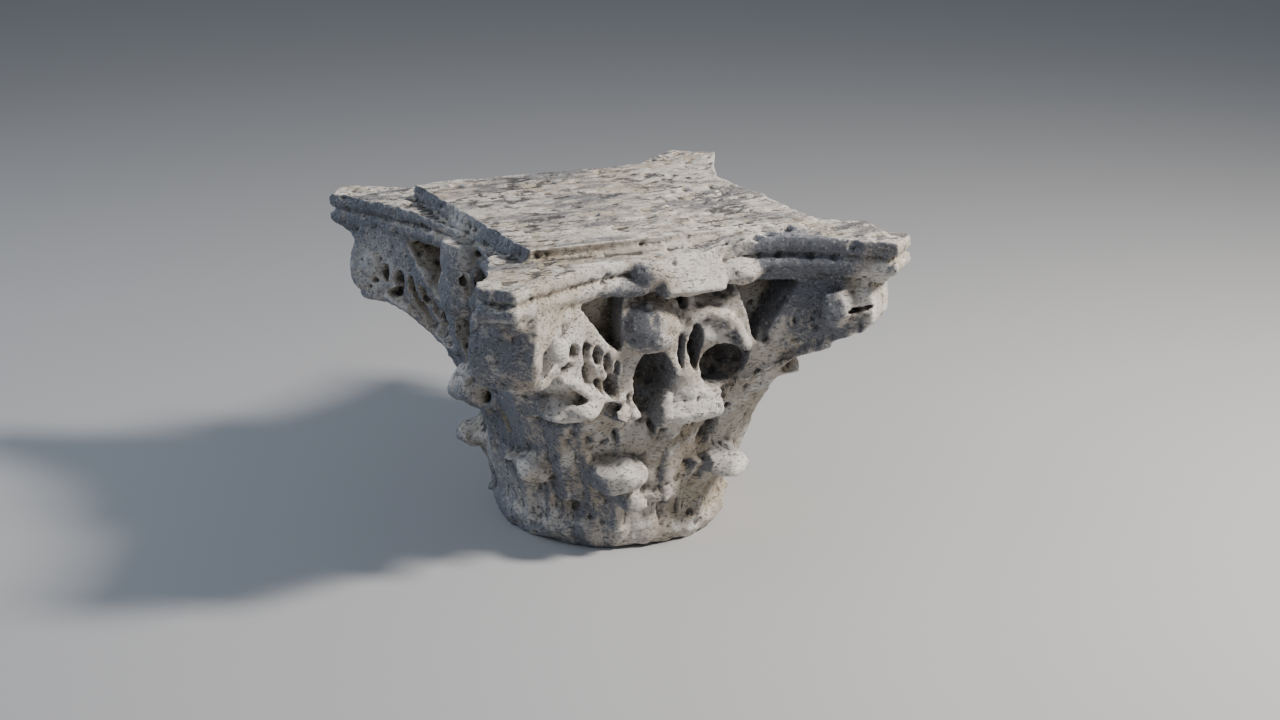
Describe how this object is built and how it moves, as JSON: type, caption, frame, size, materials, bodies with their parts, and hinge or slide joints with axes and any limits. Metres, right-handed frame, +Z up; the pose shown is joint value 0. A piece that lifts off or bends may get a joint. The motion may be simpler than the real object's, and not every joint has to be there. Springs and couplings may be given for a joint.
{
  "type": "corinthian capital",
  "caption": "Weathered marble Corinthian capital: leafy bell with corner volutes under a hollow-sided moulded abacus.",
  "frame": {"origin": "centre of the round foot, on its flat underside", "axes": "+Z up along the column's axis; the four hollow sides face +X, -X, +Y and -Y; the side with the broken fleuron faces -Y"},
  "size_m": [0.8855, 0.9195, 0.627],
  "materials": {
    "marble": "weathered, rough, grey and cream patina"
  },
  "bodies": {
    "root": {"capital": "marble"}
  },
  "joints": []
}
